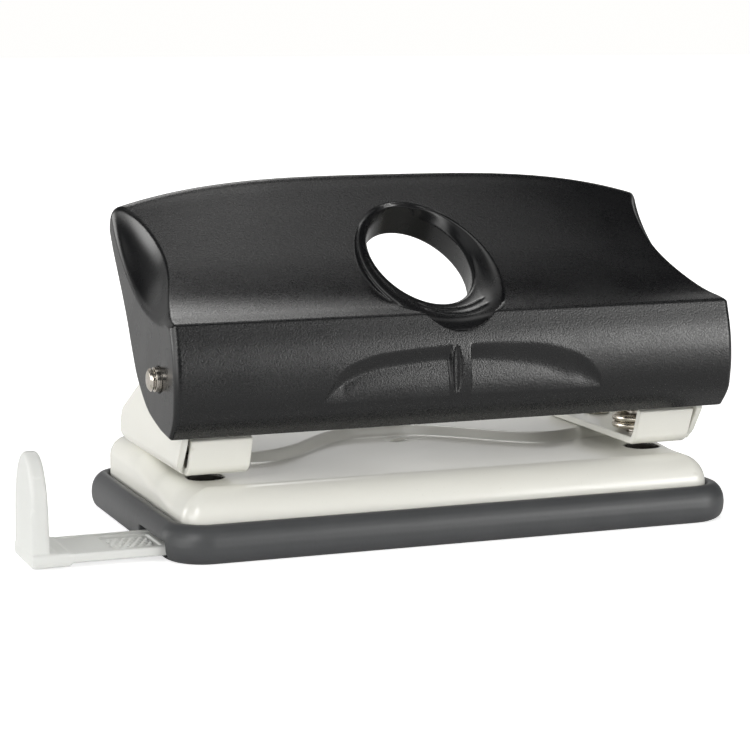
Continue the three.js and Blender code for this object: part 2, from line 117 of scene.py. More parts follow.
class Profile:
    """Signed distance to a closed outline, tabulated on a fine grid and read back by interpolation."""

    def __init__(self, outline, low, high, step=0.125):
        self.low, self.step = np.array(low, float), step
        u = np.arange(low[0], high[0] + step, step)
        v = np.arange(low[1], high[1] + step, step)
        pu, pv = (g.ravel() for g in np.meshgrid(u, v, indexing="ij"))
        best = np.full(pu.shape, 1e9)
        inside = np.zeros(pu.shape, bool)
        ends = np.roll(outline, -1, 0)
        for (au, av), (bu, bv) in zip(outline, ends):
            du, dv = bu - au, bv - av
            length = du * du + dv * dv
            if length < 1e-12:
                continue
            t = np.clip(((pu - au) * du + (pv - av) * dv) / length, 0, 1)
            best = np.minimum(best, (pu - au - t * du) ** 2 + (pv - av - t * dv) ** 2)
            if av != bv:
                inside ^= ((av > pv) != (bv > pv)) & (pu < du * (pv - av) / dv + au)
        distance = np.sqrt(best)
        self.table = np.where(inside, -distance, distance).reshape(len(u), len(v))

    def __call__(self, u, v):
        fu = np.clip((u - self.low[0]) / self.step, 0, self.table.shape[0] - 1.001)
        fv = np.clip((v - self.low[1]) / self.step, 0, self.table.shape[1] - 1.001)
        i, j = fu.astype(int), fv.astype(int)
        a, b = fu - i, fv - j
        t = self.table
        low_row = t[i, j] * (1 - a) + t[i + 1, j] * a
        high_row = t[i, j + 1] * (1 - a) + t[i + 1, j + 1] * a
        return low_row * (1 - b) + high_row * b


# ------------------------------------------------------------------ distances


def both(a, b, r=0.0):
    """Where both hold, with the edge between them rounded to r."""
    return np.minimum(-r, np.maximum(a, b)) + np.hypot(np.maximum(a + r, 0), np.maximum(b + r, 0))


def either(a, b, r=0.0):
    """Where either holds, with a fillet of r between them."""
    return np.maximum(r, np.minimum(a, b)) - np.hypot(np.maximum(r - a, 0), np.maximum(r - b, 0))


def less(a, b, r=0.0):
    """a with b cut out of it."""
    return both(a, -b, r)


def smooth(t):
    """0 to 1 as t goes from 0 to 1, level at both ends."""
    t = np.clip(t, 0, 1)
    return t * t * (3 - 2 * t)


def slab(v, low, high):
    return np.abs(v - (low + high) / 2) - (high - low) / 2


def block(x, y, z, spans, r=0.3):
    (x0, x1), (y0, y1), (z0, z1) = spans
    return both(both(slab(x, x0, x1), slab(y, y0, y1), r), slab(z, z0, z1), r)


def oval(u, v, a, b):
    """Distance to an ellipse, close to exact near its edge."""
    k0 = np.hypot(u / a, v / b)
    k1 = np.maximum(np.hypot(u / a ** 2, v / b ** 2), 1e-6)
    return k0 * (k0 - 1) / k1


def ellipsoid(x, y, z, a, b, c):
    """Distance to an ellipsoid, close to exact near its surface."""
    k0 = np.sqrt((x / a) ** 2 + (y / b) ** 2 + (z / c) ** 2)
    k1 = np.maximum(np.sqrt((x / a ** 2) ** 2 + (y / b ** 2) ** 2 + (z / c ** 2) ** 2), 1e-6)
    return k0 * (k0 - 1) / k1


def plan(x, y, half_x, half_y, corner):
    """Distance to a rectangle with rounded corners."""
    qx, qy = np.abs(x) - half_x + corner, np.abs(y) - half_y + corner
    return np.hypot(np.maximum(qx, 0), np.maximum(qy, 0)) + np.minimum(np.maximum(qx, qy), 0) - corner


# ------------------------------------------------------------------ skinning a distance field


def run(*parts):
    """Grid lines from (start, step, end) stretches that follow one another."""
    lines = [np.arange(a, b - s * 0.4, s) for a, s, b in parts]
    return np.concatenate(lines + [[parts[-1][2]]])


def gradient(field, p, e=0.06):
    """The field's slope at each point, from points e to either side."""
    g = np.empty_like(p)
    for a in range(3):
        q = p.copy()
        q[:, a] += e
        high = field(*q.T)
        q[:, a] -= 2 * e
        g[:, a] = (high - field(*q.T)) / (2 * e)
    return g


def settle(field, p, rounds=1, reach=0.35):
    """Moves points onto the surface."""
    for _ in range(rounds):
        g = gradient(field, p)
        step = (field(*p.T) / np.maximum((g * g).sum(1), 0.25))[:, None] * g
        length = np.linalg.norm(step, axis=1)[:, None]
        p = p - step * np.minimum(1, reach / np.maximum(length, 1e-9))
    return p


def net(field, axes, block_size=4):
    """Quads over the zero surface of a field on a rectangular grid: one point per cell that it crosses.

    The field is read only in blocks of cells that may lie near the surface.
    """
    shape = tuple(len(a) for a in axes)
    mids, halves = [], []
    for a in axes:
        s = np.arange(0, len(a), block_size)
        low, high = a[s], a[np.minimum(s + block_size, len(a) - 1)]
        mids.append((low + high) / 2)
        halves.append((high - low) / 2)
    m = [g.ravel() for g in np.meshgrid(*mids, indexing="ij")]
    h = [g.ravel() for g in np.meshgrid(*halves, indexing="ij")]
    d = field(*m)
    near = np.abs(d) < 1.35 * np.sqrt(h[0] ** 2 + h[1] ** 2 + h[2] ** 2) + 0.5

    def spread(v):
        v = v.reshape([len(q) for q in mids])
        for axis in range(3):
            v = np.repeat(v, block_size, axis)
        return v[:shape[0], :shape[1], :shape[2]]

    value = spread(np.where(d < 0, -9.0, 9.0).astype(np.float32)).copy()
    i, j, k = np.nonzero(spread(near))
    for s in range(0, len(i), 400000):
        c = slice(s, s + 400000)
        value[i[c], j[c], k[c]] = field(axes[0][i[c]], axes[1][j[c]], axes[2][k[c]])
    inside = value < 0
    corners = [(a, b, c) for a in (0, 1) for b in (0, 1) for c in (0, 1)]
    views = [inside[a:shape[0] - 1 + a, b:shape[1] - 1 + b, c:shape[2] - 1 + c] for a, b, c in corners]
    some, every = views[0].copy(), views[0].copy()
    for v in views[1:]:
        some |= v
        every &= v
    cell = np.array(np.nonzero(some & ~every))
    index = np.full(some.shape, -1, np.int32)
    index[tuple(cell)] = np.arange(cell.shape[1])
    total, count = np.zeros((cell.shape[1], 3)), np.zeros(cell.shape[1])
    for a in corners:
        for axis in range(3):
            if a[axis]:
                continue
            b = tuple(1 if q == axis else a[q] for q in range(3))
            ia, ib = [cell[q] + a[q] for q in range(3)], [cell[q] + b[q] for q in range(3)]
            va, vb = value[tuple(ia)], value[tuple(ib)]
            cut = (va < 0) != (vb < 0)
            t = np.where(cut, va / np.where(cut, va - vb, 1), 0)
            for q in range(3):
                pa, pb = axes[q][ia[q]], axes[q][ib[q]]
                total[:, q] += np.where(cut, pa + t * (pb - pa), 0)
            count += cut
    points = total / count[:, None]
    quads = []
    for axis in range(3):
        u, v = (axis + 1) % 3, (axis + 2) % 3
        low, high = [slice(1, -1)] * 3, [slice(1, -1)] * 3
        low[axis], high[axis] = slice(0, -1), slice(1, None)
        change = np.array(np.nonzero(inside[tuple(low)] != inside[tuple(high)]))
        change[u] += 1
        change[v] += 1
        ring = []
        for du, dv in ((-1, -1), (0, -1), (0, 0), (-1, 0)):
            c = change.copy()
            c[u] += du
            c[v] += dv
            ring.append(index[tuple(c)])
        ring = np.array(ring).T
        outward = inside[tuple(change)]
        quads.append(np.where(outward[:, None], ring, ring[:, ::-1]))
    return points, np.vstack(quads)


def relax(field, points, quads, rounds=2):
    """Evens out the net's quads while it stays on the surface."""
    for _ in range(rounds):
        centre = points[quads].mean(1)
        total, count = np.zeros_like(points), np.bincount(quads.ravel(), minlength=len(points))
        for q in range(3):
            total[:, q] = np.bincount(quads.ravel(), np.repeat(centre[:, q], 4), len(points))
        points = points + 0.6 * (total / np.maximum(count, 1)[:, None] - points)
        points = settle(field, points)
    return settle(field, points, 2)


# ------------------------------------------------------------------ pieces


def new_mesh(name, points, faces):
    """A mesh from points in millimetres and faces that all have the same number of corners."""
    faces = np.ascontiguousarray(faces, np.int32)
    mesh = bpy.data.meshes.new(name)
    mesh.vertices.add(len(points))
    mesh.vertices.foreach_set("co", (np.asarray(points) * MM).astype(np.float32).ravel())
    mesh.loops.add(faces.size)
    mesh.loops.foreach_set("vertex_index", faces.ravel())
    mesh.polygons.add(len(faces))
    mesh.polygons.foreach_set("loop_start", np.arange(0, faces.size, faces.shape[1], dtype=np.int32))
    mesh.update(calc_edges=True)
    mesh.validate()
    return mesh


def thin_out(name, points, faces, ratio):
    """The same surface with fewer triangles where it is flat."""
    rough = bpy.data.objects.new(name + "_rough", new_mesh(name + "_rough", points, faces))
    bpy.context.scene.collection.objects.link(rough)
    reduce = rough.modifiers.new("reduce", "DECIMATE")
    reduce.ratio = ratio
    reduce.use_collapse_triangulate = True
    graph = bpy.context.evaluated_depsgraph_get()
    mesh = rough.evaluated_get(graph).to_mesh()
    co = np.empty(len(mesh.vertices) * 3, np.float32)
    mesh.vertices.foreach_get("co", co)
    mesh.calc_loop_triangles()
    tris = np.empty(len(mesh.loop_triangles) * 3, np.int32)
    mesh.loop_triangles.foreach_get("vertices", tris)
    bpy.data.objects.remove(rough)
    return co.reshape(-1, 3).astype(float) / MM, tris.reshape(-1, 3)


def place(name, mesh, body, slot, material, *nodes):
    """Adds the piece, on its body, in place of the CAD nodes."""
    piece = bpy.data.objects.new(name, mesh)
    bpy.context.scene.collection.objects.link(piece)
    mesh.materials.append(material)
    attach(piece, body)
    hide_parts(*nodes)
    return piece


def skinned(name, field, axes, keep, body, slot, material, *nodes, marks=None):
    """A piece from a distance field, with its shading normals taken from the field."""
    points, quads = net(field, axes)
    points = relax(field, points, quads)
    if keep < 1:
        points, quads = thin_out(name, points, quads, keep)
        points = settle(field, points, 2, 0.08)
    mesh = new_mesh(name, points, quads)
    normals = gradient(field, points, 0.07)
    normals /= np.maximum(np.linalg.norm(normals, axis=1), 1e-9)[:, None]
    mesh.polygons.foreach_set("use_smooth", np.ones(len(mesh.polygons), bool))
    if len(mesh.vertices) == len(points):
        mesh.normals_split_custom_set_from_vertices([tuple(n) for n in normals])
        for label, values in (marks(*points.T) if marks else {}).items():
            attribute = mesh.attributes.new(label, "FLOAT", "POINT")
            attribute.data.foreach_set("value", np.asarray(values, np.float32))
    place(name, mesh, body, slot, material, *nodes)


def turned(name, profile, centre, body, slot, material, *nodes, along="z", sides=64):
    """A piece turned about an axis through centre. The profile is a closed (radius, height) outline."""
    profile = np.array(profile, float)
    angle = np.linspace(0, 2 * math.pi, sides, endpoint=False)
    ring = len(profile)
    r, h = np.tile(profile[:, 0], sides), np.tile(profile[:, 1], sides)
    a = np.repeat(angle, ring)
    local = np.stack([r * np.cos(a), r * np.sin(a), h], 1)
    if along == "x":
        local = local[:, [2, 0, 1]]
    i, j = np.meshgrid(np.arange(sides), np.arange(ring), indexing="ij")
    i, j = i.ravel(), j.ravel()
    n, k = (i + 1) % sides, (j + 1) % ring
    faces = np.stack([i * ring + j, n * ring + j, n * ring + k, i * ring + k], 1)
    mesh = new_mesh(name, local + np.array(centre, float), faces)
    finish_smooth(mesh)
    place(name, mesh, body, slot, material, *nodes)


def finish_smooth(mesh, sharp=40):
    """Welds doubled points, turns the faces outwards and shades smooth up to an angle."""
    b = bmesh.new()
    b.from_mesh(mesh)
    bmesh.ops.remove_doubles(b, verts=b.verts, dist=1e-6)
    bmesh.ops.dissolve_degenerate(b, edges=b.edges, dist=1e-7)
    bmesh.ops.recalc_face_normals(b, faces=b.faces)
    b.to_mesh(mesh)
    b.free()
    mesh.polygons.foreach_set("use_smooth", np.ones(len(mesh.polygons), bool))
    mesh.set_sharp_from_angle(angle=math.radians(sharp))


def eased(profile, r=0.12):
    """A closed (radius, height) outline with its corners eased, except those on the axis."""
    profile = np.array(profile, float)
    radii = np.where(profile[:, 0] < 1e-6, 0, r)
    return rounded(profile, radii, 3)


# ------------------------------------------------------------------ materials


def shader(name):
    """A new material, with its nodes, its links and its Principled BSDF."""
    material = bpy.data.materials.new(name)
    material.use_nodes = True
    tree = material.node_tree
    return material, tree.nodes, tree.links, tree.nodes["Principled BSDF"]


def add(nodes, kind, **values):
    """A new node with the named inputs and settings."""
    node = nodes.new(kind)
    for key, value in values.items():
        if key in node.inputs:
            node.inputs[key].default_value = value
        else:
            setattr(node, key, value)
    return node


def noise(nodes, links, coords, scale, detail=2.0, roughness=0.5):
    node = add(nodes, "ShaderNodeTexNoise", Scale=scale, Detail=detail, Roughness=roughness)
    links.new(coords, node.inputs["Vector"])
    return node.outputs["Fac"]


def ramp(nodes, links, value, low, high, out_low, out_high):
    node = add(nodes, "ShaderNodeMapRange")
    for key, number in (("From Min", low), ("From Max", high), ("To Min", out_low), ("To Max", out_high)):
        node.inputs[key].default_value = number
    links.new(value, node.inputs["Value"])
    return node.outputs["Result"]


def blend_colour(nodes, links, factor, a, b):
    node = add(nodes, "ShaderNodeMix", data_type="RGBA")
    node.inputs["A"].default_value = (*a, 1)
    node.inputs["B"].default_value = (*b, 1)
    links.new(factor, node.inputs["Factor"])
    return node.outputs["Result"]


def math_node(nodes, links, operation, a, b=None):
    node = add(nodes, "ShaderNodeMath", operation=operation)
    for socket, value in zip(node.inputs, (a, b)):
        if value is None:
            continue
        if isinstance(value, (int, float)):
            socket.default_value = value
        else:
            links.new(value, socket)
    return node.outputs["Value"]


def edge_wear(nodes, links):
    """High on sharp convex edges, where handling polishes them."""
    geometry = add(nodes, "ShaderNodeNewGeometry")
    return ramp(nodes, links, geometry.outputs["Pointiness"], 0.52, 0.62, 0.0, 1.0)


def plastic(name, dark, light, rough, grain_scale, grain_depth, grain_from=None, mottle=0.25):
    """Moulded plastic: spark-eroded grain, faint flow mottling, edges rubbed a little smoother and paler.

    grain_depth is in millimetres. grain_from names the attribute that is 1 where there is grain.
    """
    material, nodes, links, bsdf = shader(name)
    coords = add(nodes, "ShaderNodeTexCoord").outputs["Object"]
    mottling = noise(nodes, links, coords, 140, 3)
    grain = noise(nodes, links, coords, grain_scale, 2, 0.6)
    wear = edge_wear(nodes, links)
    share = math_node(nodes, links, "MULTIPLY", mottling, mottle)
    share = math_node(nodes, links, "ADD", share, math_node(nodes, links, "MULTIPLY", wear, 0.35))
    links.new(blend_colour(nodes, links, share, dark, light), bsdf.inputs["Base Color"])
    roughness = ramp(nodes, links, mottling, 0.3, 0.7, rough - 0.03, rough + 0.03)
    if grain_from:
        mark = add(nodes, "ShaderNodeAttribute", attribute_name=grain_from).outputs["Fac"]
        grainy = ramp(nodes, links, grain, 0.35, 0.65, -0.05, 0.06)
        grainy = math_node(nodes, links, "MULTIPLY", grainy, mark)
        roughness = math_node(nodes, links, "ADD", roughness, grainy)
        grain = math_node(nodes, links, "MULTIPLY", grain, math_node(nodes, links, "MAXIMUM", mark, 0.12))
    rubbed = math_node(nodes, links, "MULTIPLY", wear, 0.08)
    roughness = math_node(nodes, links, "SUBTRACT", roughness, rubbed)
    links.new(roughness, bsdf.inputs["Roughness"])
    bump = add(nodes, "ShaderNodeBump", Strength=1.0, Distance=grain_depth * MM)
    links.new(grain, bump.inputs["Height"])
    links.new(bump.outputs["Normal"], bsdf.inputs["Normal"])
    return material


def enamel(name, colour, shade, rough):
    """Sprayed gloss paint on pressed steel: slight orange peel, a touch thinner and darker along edges.

    Painted shade: a near-black colour, partly standing for unpainted cut steel, goes where the mesh's
    painted-shade attribute is 1.
    """
    material, nodes, links, bsdf = shader(name)
    coords = add(nodes, "ShaderNodeTexCoord").outputs["Object"]
    cloud = noise(nodes, links, coords, 60, 3)
    peel = noise(nodes, links, coords, 900, 2)
    specks = noise(nodes, links, coords, 2600, 1)
    share = math_node(nodes, links, "MULTIPLY", edge_wear(nodes, links), 0.45)
    share = math_node(nodes, links, "ADD", share, ramp(nodes, links, cloud, 0.35, 0.7, 0.0, 0.12))
    share = math_node(nodes, links, "ADD", share, ramp(nodes, links, specks, 0.74, 0.8, 0.0, 0.25))
    shade_and_bare = add(nodes, "ShaderNodeAttribute", attribute_name="shade_and_bare").outputs["Fac"]
    paint = blend_colour(nodes, links, share, colour, shade)
    mix = add(nodes, "ShaderNodeMix", data_type="RGBA")
    links.new(shade_and_bare, mix.inputs["Factor"])
    links.new(paint, mix.inputs["A"])
    # Painted shade: near-black colour that darkens the die holes and the plate's underside, only partly
    # unpainted cut steel.
    mix.inputs["B"].default_value = (0.05, 0.047, 0.042, 1)
    links.new(mix.outputs["Result"], bsdf.inputs["Base Color"])
    links.new(ramp(nodes, links, cloud, 0.3, 0.7, rough - 0.03, rough + 0.06), bsdf.inputs["Roughness"])
    bump = add(nodes, "ShaderNodeBump", Strength=1.0, Distance=0.006 * MM)
    links.new(peel, bump.inputs["Height"])
    links.new(bump.outputs["Normal"], bsdf.inputs["Normal"])
    bsdf.inputs["Coat Weight"].default_value = 0.25
    bsdf.inputs["Coat Roughness"].default_value = 0.06
    return material


def plated(name, colour, tint, rough, lines=0.0, axis="Z"):
    """Plated steel: a warm tint, duller patches and turning lines, lines millimetres deep, along an axis."""
    material, nodes, links, bsdf = shader(name)
    coords = add(nodes, "ShaderNodeTexCoord").outputs["Object"]
    patch = noise(nodes, links, coords, 500, 3)
    share = ramp(nodes, links, patch, 0.35, 0.7, 0, 1)
    links.new(blend_colour(nodes, links, share, colour, tint), bsdf.inputs["Base Color"])
    links.new(ramp(nodes, links, patch, 0.3, 0.75, rough, rough + 0.14), bsdf.inputs["Roughness"])
    bsdf.inputs["Metallic"].default_value = 1.0
    if lines:
        wave = add(nodes, "ShaderNodeTexWave", bands_direction=axis, Scale=900.0, Distortion=1.5)
        links.new(coords, wave.inputs["Vector"])
        bump = add(nodes, "ShaderNodeBump", Strength=1.0, Distance=lines * MM)
        links.new(wave.outputs["Fac"], bump.inputs["Height"])
        links.new(bump.outputs["Normal"], bsdf.inputs["Normal"])
    return material


BLACK = plastic("black_plastic", (0.0042, 0.0045, 0.0052), (0.012, 0.012, 0.0125), 0.27, 3800, 0.034,
                grain_from="grain")
GREY = plastic("grey_plastic", (0.05, 0.052, 0.055), (0.095, 0.097, 0.1), 0.42, 1500, 0.022, mottle=0.5)
PALE = plastic("pale_plastic", (0.70, 0.71, 0.69), (0.80, 0.81, 0.79), 0.38, 1300, 0.012, mottle=0.4)
CREAM = enamel("cream_paint", (0.83, 0.825, 0.77), (0.62, 0.60, 0.53), 0.2)
PIN_STEEL = plated("pin_steel", (0.33, 0.31, 0.28), (0.42, 0.38, 0.33), 0.14, 0.002)
SPRING_STEEL = plated("spring_steel", (0.62, 0.58, 0.50), (0.5, 0.45, 0.38), 0.2)
ROD_STEEL = plated("rod_steel", (0.78, 0.74, 0.68), (0.6, 0.54, 0.46), 0.12, 0.002, "X")
RIVET_STEEL = plated("rivet_steel", (0.7, 0.68, 0.62), (0.52, 0.48, 0.42), 0.22)

# ------------------------------------------------------------------ handle

waist_line = rounded([LOWER_FRONT[-1], WAIST, UPPER_SLOPE[0]], (0, 0.9, 0))
skin_line = np.vstack([spline(LOWER_FRONT), waist_line[1:-1], spline(UPPER_SLOPE + CREST)])
# OUTSIDE is the closed end face. SKIN runs on below it, so that the hollow inside is open downwards.
OUTSIDE = Profile(np.vstack([skin_line[:-1], spline(CREST[-1:] + END_BACK)]), (-32, 10), (18, 64))
SKIN = Profile(np.vstack([[(-23.8, -20)], skin_line, [(12, -20)]]), (-32, 10), (18, 64))
SMILE_TOP = spline(((-24.9, 24.7), (-24.0, 26.6), (-22.6, 28.9), (-20.9, 30.5), (-18.0, 31.7), (-14.7, 32.45),
                    (-8.6, 33.0), (-2.5, 33.3), (2, 33.4), (6.1, 33.45), (12.2, 33.15), (15.9, 32.45),
                    (19.5, 31.1), (21.8, 29.6), (23.5, 27.8), (24.3, 26.0), (24.5, 24.7)))
SMILE_FLOOR = 24.7
LENS_X, LENS_Z = -1.65, 29.0
COLLAR_X, COLLAR_Y, COLLAR_Z = -0.3, -12.1, 44.9
SCOOP_OUT, SCOOP_Y, SCOOP_Z = HALF + 3.7, -9.61, 47.87
SCOOP_TILT = math.atan2(15.1, 32.7)
SCOOP_RADIUS, SCOOP_LENGTH, SCOOP_SHIFT = 9, 22.2, 0.8


def thumb_recess(x, z):
    """How far the front is pressed in: two shallow wells under an arch, a bar and a lens between them."""
    top = np.interp(x, SMILE_TOP[:, 0], SMILE_TOP[:, 1], left=24, right=24)
    tall = np.maximum(top - SMILE_FLOOR, 0.05)
    share = np.clip((z - SMILE_FLOOR) / tall, 0, 1)
    from_top = np.maximum(top - z, 0)
    depth = np.minimum(1.35, tall * 0.24)
    brow = np.minimum(np.where(x > 0, 3.2 + 0.12 * x, 3.1), np.where(x > 0, 0.78, 0.6) * tall)
    well = depth * smooth(from_top / brow) * np.minimum(share / 0.9, 1)
    apart = np.where(x < -0.9, smooth((-2.4 - x) / 0.6), smooth((x - 0.75) / 0.3))
    well = well * apart
    lens = 0.55 * np.sqrt(np.clip(1 - ((x - LENS_X) / 0.85) ** 2 - ((z - LENS_Z) / 3.9) ** 2, 0, 1))
    return well + lens


def tilted(x, y, z):
    """Coordinates across, up and out of the sloping face, from the middle of the collar."""
    c, s = math.cos(SLOPE), math.sin(SLOPE)
    y, z = y - COLLAR_Y, z - COLLAR_Z
    return x - COLLAR_X, y * c + z * s, z * c - y * s


def section(x, y, z):
    """Where a point stands in the cross-section, with the arch of the top and the thumb recess taken out."""
    arch = ARCH * (1 - np.minimum(np.abs(x) / HALF, 1) ** ARCH_POWER)
    lift = arch * np.clip((y + 24.7) / 34.1, 0, 1) ** 1.6 * smooth((z - 33) / 5.0)
    return y - thumb_recess(x, z) * (y < -18), z - lift


def scoop(x, y, z, margin=0.0):
    """The hollow in each end: a long ellipsoid lying along the slope, shallower towards the waist."""
    c, s = math.cos(SCOOP_TILT), math.sin(SCOOP_TILT)
    out = np.abs(x) - SCOOP_OUT - 1.3 * smooth((-4 - y) / 14)
    y, z = y - SCOOP_Y, z - SCOOP_Z
    radius, length = SCOOP_RADIUS + margin, SCOOP_LENGTH + margin
    return ellipsoid(out, y * c + z * s - SCOOP_SHIFT, z * c - y * s, radius, length, radius)


def collar_oval(u, v):
    return oval(u, v, 12.0, 17.2)


def window_oval(u, v):
    return oval(u + 0.2, v - 3.93, 8.5, 13.0)


def collar_top(u, v):
    """Height of the collar's face: level at its outer edge, dished down to the window's rim."""
    outer = np.maximum(-collar_oval(u, v), 0)
    inner = np.maximum(window_oval(u, v), 0)
    share = smooth((outer - 0.5) / np.maximum(outer + inner - 0.5, 0.2))
    height = -1.43 * share - 1.0 * smooth((-13.2 - v) / 4.2) ** 2
    # Two low crescents step down from the window towards the front.
    around = np.abs(u - 0.6) / 6.4
    for at in (-11.3, -13.3):
        bend = at + 2.4 * np.clip(around, 0, 1.4) ** 2
        height = height + 0.3 * np.exp(-((v - bend) / 0.3) ** 2) * smooth((1.0 - around) / 0.3)
    return height


def handle(x, y, z):
    ends = np.abs(x)
    across, flat = section(x, y, z)
    outside = both(OUTSIDE(across, flat), ends - HALF, 1.15 - 0.6 * smooth((26 - z) / 4))
    hollow = both(SKIN(across, flat) + WALL, ends - HALF + WALL, 0.8)
    hollow = np.minimum(hollow, both(slab(y, 5, 60), both(flat - LIP_Z, ends - HALF + WALL)))
    hollow = less(hollow, scoop(x, y, z, WALL))
    d = less(outside, hollow, 0.45)
    # Collar, the wall of the window's tunnel, the dish above the collar, the window itself.
    u, v, w = tilted(x, y, z)
    top, ring, window = collar_top(u, v), collar_oval(u, v), window_oval(u, v)
    d = either(d, both(both(ring, w - top, 0.45), -4.5 - w), 0.25)
    d = either(d, both(both(window - 1.8, slab(w, -6.43, 4), 0.3), outside + 0.7), 0.2)
    d = less(d, both(ring, both(top - w, w - 9)), 0.25)
    d = less(d, both(window, slab(w, -12, 9)), 0.7)
    # Ribs that press the pins.
    rib_y, rib_z = y - PIVOT_Y - 7.2, z - PIVOT_Z - 2.5
    nose = np.hypot(rib_y, np.minimum(rib_z, 0)) - 2
    rib = both(both(nose, np.abs(ends - PUNCH_X) - 2, 0.3), OUTSIDE(y, flat) + 0.6)
    d = either(d, rib, 0.3)
    # Bosses and holes for the rod.
    axle = np.hypot(y - PIVOT_Y, z - PIVOT_Z)
    d = either(d, both(axle - 3.8, slab(ends, 47.0, 48.6), 0.2), 0.3)
    d = less(d, both(axle - 2.12, slab(ends, 44, 56)), 0.25)
    return less(d, scoop(x, y, z), 0.35 + 0.35 * smooth((ends - 46.2) / 3.0))


def handle_marks(x, y, z):
    """1 where the mould is grained, 0 on the polished collar, scoops and inside."""
    u, v, _ = tilted(x, y, z)
    away = smooth(collar_oval(u, v) / 0.5)
    scooped = smooth((scoop(x, y, z) - 0.15) / 0.4)
    ends = smooth((48.9 - np.abs(x)) / 0.5)
    outer = smooth((OUTSIDE(*section(x, y, z)) + 1.0) / 0.5)
    return {"grain": away * scooped * ends * outer}


# The grid is finest across the window and the thumb recess, and finer at the ends than between.
handle_x = run((-50.4, 0.32, -42), (-42, 0.5, -25), (-25, 0.42, -13), (-13, 0.25, 13), (13, 0.42, 25),
               (25, 0.5, 42), (42, 0.32, 50.4))
skinned("handle_shell", handle, (handle_x, run((-29, 0.3, 13.4)), run((18.6, 0.3, 60.2))),
        0.42, "handle", "black_plastic", BLACK, "handle_cover", marks=handle_marks)

# ------------------------------------------------------------------ base


def sway(t):
    """0 to 1 along half a cosine wave."""
    return (1 - np.cos(math.pi * np.clip(t, 0, 1))) / 2


def step_line(x):
    """Front edge of the raised deck: behind each die, arched back in the middle."""
    return 12.6 - 15.9 * sway((np.abs(x) - 4) / 23.0) + 2.9 * sway((np.abs(x) - 27) / 11.0)


def base_top(x, y):
    """Height of the plate: the table, the step up to the deck, and the centring mark."""
    spread = 3.2 + 9 * smooth((np.abs(x) - 39) / 6)
    top = TABLE + (DECK - TABLE) * smooth((y - step_line(x) + 0.5 * spread - 1) / spread)
    # Lanced centring mark: one lip pressed up, one pressed down.
    turn, mark_x, mark_y = math.radians(18), 2.2, 8.4
    u = (x - mark_x) * math.cos(turn) + (y - mark_y) * math.sin(turn)
    v = (y - mark_y) * math.cos(turn) - (x - mark_x) * math.sin(turn)
    lip = np.clip(1 - (u / 2.3) ** 2, 0, 1) * np.exp(-np.abs(v) / 0.7)
    return top + 0.5 * lip * np.tanh(v / 0.18)


def base_skin(x, y, z):
    """Distance to the plate's outer face. Its edge is tighter at the back."""
    side = plan(x, y, BASE_X, BASE_Y, BASE_CORNER)
    return both(side, z - base_top(x, y), BASE_EDGE - 1.6 * smooth((y + 17) / 10))


def base(x, y, z):
    side = plan(x, y, BASE_X, BASE_Y, BASE_CORNER)
    inside = both(side + SHEET, z - base_top(x, y) + SHEET, BASE_EDGE - SHEET)
    d = both(less(base_skin(x, y, z), inside), BOTTOM - z, 0.25)
    d = less(d, np.hypot(np.abs(x) - PUNCH_X, y - PUNCH_Y) - 2.95, 0.2)
    for rx, ry in RIVETS:
        d = less(d, np.hypot(np.abs(x) - rx, y - ry) - RIVET_HOLE, 0.15)
    return d


def base_marks(x, y, z):
    """1 where painted shade darkens the plate: inside the die holes, whose walls are also unpainted cut
    steel, and under the plate.
    """
    hole = smooth((3.25 - np.hypot(np.abs(x) - PUNCH_X, y - PUNCH_Y)) / 0.15)
    under = smooth((-base_skin(x, y, z) - 0.8) / 0.2)
    return {"shade_and_bare": np.maximum(hole, under)}


skinned("base_shell", base, (run((-47.8, 0.4, 47.8)), run((-26, 0.4, 26)), run((3.6, 0.24, 13.8))),
        0.4, "base", "cream_paint", CREAM, "base_plate", marks=base_marks)

# ------------------------------------------------------------------ tray

# Section of the rim and floor: how far in from the outline, and height.
TRAY_RIM = rounded([(60, 0.0), (1.7, 0.0), (0.6, 0.55), (0.1, 1.7), (0.0, 3.0), (0.15, 4.3), (0.7, 5.45),
                    (1.6, 6.25), (2.35, 6.38), (2.95, 6.1), (3.15, 5.3), (3.15, 4.2), (5.0, 4.2), (5.0, 1.5),
                    (60, 1.5)],
                   (0, 1.5, 2.0, 3.0, 3.0, 3.0, 2.5, 1.5, 1.0, 0.9, 0.8, 0.15, 0.2, 0.5, 0))
RIM = Profile(TRAY_RIM, (-3, -2), (32, 9), 0.1)


def tray(x, y, z):
    d = RIM(-plan(x, y, TRAY_X, TRAY_Y, TRAY_CORNER), z)
    # The guide's sleeve, the channel in it, and the wider mouth where the arm comes out through the rim.
    d = either(d, block(x, y, z, ((-46.5, 46.5), (ARM_FRONT - 1.3, ARM_BACK + 1.3), (0.2, 4.1)), 0.3), 0.2)
    d = less(d, block(x, y, z, ((-60, 45.5), (ARM_FRONT - 0.3, ARM_BACK + 0.3), (0.8, 2.9)), 0.1), 0.15)
    return less(d, block(x, y, z, ((-60, -47.3), (ARM_FRONT - 0.3, ARM_BACK + 0.15), (0.8, 3.4)), 0.2), 0.2)


skinned("tray_shell", tray, (run((-51.2, 0.42, 51.2)), run((-29.4, 0.42, 29.4)), run((-0.5, 0.26, 7.1))),
        0.4, "tray", "grey_plastic", GREY, "chip_tray")

# ------------------------------------------------------------------ paper guide

STOP_OUTER, STOP_TOP, ARM_LOW, ARM_TOP = -71.2, 18.1, 1.1, 2.6
STOP_ROUND = 9.0
PATCH_X, PITCH = -54.0, 1.35


